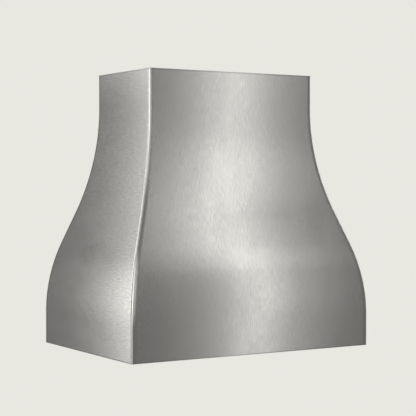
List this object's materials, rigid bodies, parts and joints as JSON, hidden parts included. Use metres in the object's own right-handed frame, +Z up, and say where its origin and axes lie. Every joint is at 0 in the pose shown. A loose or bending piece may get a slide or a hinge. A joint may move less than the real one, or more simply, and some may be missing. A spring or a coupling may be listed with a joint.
{
  "type": "bell shape range hood",
  "caption": "Ceiling-hung kitchen hood: a four-sided bell of brushed steel sheet over a lit liner with baffle filters, control knobs, a twin blower and a duct damper.",
  "frame": {"origin": "middle of the ceiling face, at the centre of the four ceiling bolts", "axes": "+Z up towards the ceiling, -Y to the front where the knobs are, +X to the right seen from the front"},
  "size_m": [0.914, 0.64, 0.928],
  "materials": {
    "brushed_skin": "brushed stainless steel, vertical grain on the wide skins and level grain on the narrow ones",
    "liner_steel": "fine brushed stainless steel",
    "filter_steel": "bright rolled stainless steel",
    "bail_chrome": "polished wire",
    "galvanised": "galvanised sheet with spangle",
    "black_frame": "black painted steel angle",
    "zinc": "zinc plated steel",
    "aluminium_flap": "mill-finish aluminium",
    "seat_rubber": "black rubber",
    "motor_paint": "black enamel",
    "capacitor_plastic": "white moulded case",
    "switch_plastic": "black moulded case",
    "knob_metal": "turned stainless steel",
    "dial_metal": "dark satin plate with plain marks",
    "lamp_metal": "cast aluminium",
    "lamp_bezel": "satin chrome",
    "lamp_glass": "frosted glass"
  },
  "bodies": {
    "hood": {"back_panel": "brushed_skin", "cable_bushing": "seat_rubber", "capacitor": "capacitor_plastic", "ceiling_frame": "black_frame", "control_box": "galvanised", "corner_angle_back_left": "galvanised", "corner_angle_back_right": "galvanised", "corner_angle_front_left": "galvanised", "corner_angle_front_right": "galvanised", "damper_collar": "galvanised", "damper_pin": "zinc", "damper_seat": "seat_rubber", "dial_plates": "dial_metal", "fan_switch": "switch_plastic", "filter_catches": "liner_steel", "filter_hinge_rail": "liner_steel", "filter_hinge_rod": "liner_steel", "front_panel": "brushed_skin", "inlet_ring_left": "galvanised", "inlet_ring_right": "galvanised", "junction_box": "galvanised", "lamp_bezels": "lamp_bezel", "lamp_housings": "lamp_metal", "lamp_lenses": "lamp_glass", "left_panel": "brushed_skin", "light_dimmer": "switch_plastic", "liner_pan": "liner_steel", "liner_screws": "zinc", "motor_bearings": "zinc", "motor_can": "motor_paint", "motor_hanger": "galvanised", "outlet_transition": "galvanised", "panel_ribs": "galvanised", "plenum_box": "galvanised", "right_panel": "brushed_skin", "rim_frame": "liner_steel", "riser_duct": "galvanised", "rod_nuts": "zinc", "scroll_left": "galvanised", "scroll_right": "galvanised", "support_rods": "zinc", "top_plate": "brushed_skin"},
    "rotor": {"impeller_left": "galvanised", "impeller_right": "galvanised", "motor_shaft": "zinc"},
    "damper_flap_back": {"damper_flap_back": "aluminium_flap"},
    "damper_flap_front": {"damper_flap_front": "aluminium_flap"},
    "fan_knob": {"fan_knob": "knob_metal"},
    "light_knob": {"light_knob": "knob_metal"},
    "filter_left": {"filter_left_frame": "filter_steel", "filter_left_baffles": "filter_steel"},
    "bail_left": {"filter_left_bail": "bail_chrome"},
    "filter_centre": {"filter_centre_frame": "filter_steel", "filter_centre_baffles": "filter_steel"},
    "bail_centre": {"filter_centre_bail": "bail_chrome"},
    "filter_right": {"filter_right_frame": "filter_steel", "filter_right_baffles": "filter_steel"},
    "bail_right": {"filter_right_bail": "bail_chrome"}
  },
  "joints": [
    {"name": "rotor_spin", "type": "hinge", "parent": "hood", "child": "rotor", "pos_m": [0, -0.07927, -0.7113], "axis": [1, 0, 0], "continuous": true},
    {"name": "back_flap", "type": "hinge", "parent": "hood", "child": "damper_flap_back", "pos_m": [0, 0, -0.125], "axis": [1, 0, 0], "range_deg": [0, 85]},
    {"name": "front_flap", "type": "hinge", "parent": "hood", "child": "damper_flap_front", "pos_m": [0, 0, -0.125], "axis": [-1, 0, 0], "range_deg": [0, 85]},
    {"name": "fan_turn", "type": "hinge", "parent": "hood", "child": "fan_knob", "pos_m": [-0.045, -0.232, -0.8675], "axis": [0, 0, -1], "range_deg": [0, 270]},
    {"name": "light_turn", "type": "hinge", "parent": "hood", "child": "light_knob", "pos_m": [0.045, -0.232, -0.8675], "axis": [0, 0, -1], "range_deg": [0, 270]},
    {"name": "filter_left_swing", "type": "hinge", "parent": "hood", "child": "filter_left", "pos_m": [-0.26, 0.1643, -0.8645], "axis": [1, 0, 0], "range_deg": [0, 80]},
    {"name": "bail_left_swing", "type": "hinge", "parent": "filter_left", "child": "bail_left", "pos_m": [-0.26, -0.1593, -0.8741], "axis": [1, 0, 0], "range_deg": [-85, 85]},
    {"name": "filter_centre_swing", "type": "hinge", "parent": "hood", "child": "filter_centre", "pos_m": [0, 0.1643, -0.8645], "axis": [1, 0, 0], "range_deg": [0, 80]},
    {"name": "bail_centre_swing", "type": "hinge", "parent": "filter_centre", "child": "bail_centre", "pos_m": [0, -0.1593, -0.8741], "axis": [1, 0, 0], "range_deg": [-85, 85]},
    {"name": "filter_right_swing", "type": "hinge", "parent": "hood", "child": "filter_right", "pos_m": [0.26, 0.1643, -0.8645], "axis": [1, 0, 0], "range_deg": [0, 80]},
    {"name": "bail_right_swing", "type": "hinge", "parent": "filter_right", "child": "bail_right", "pos_m": [0.26, -0.1593, -0.8741], "axis": [1, 0, 0], "range_deg": [-85, 85]}
  ]
}
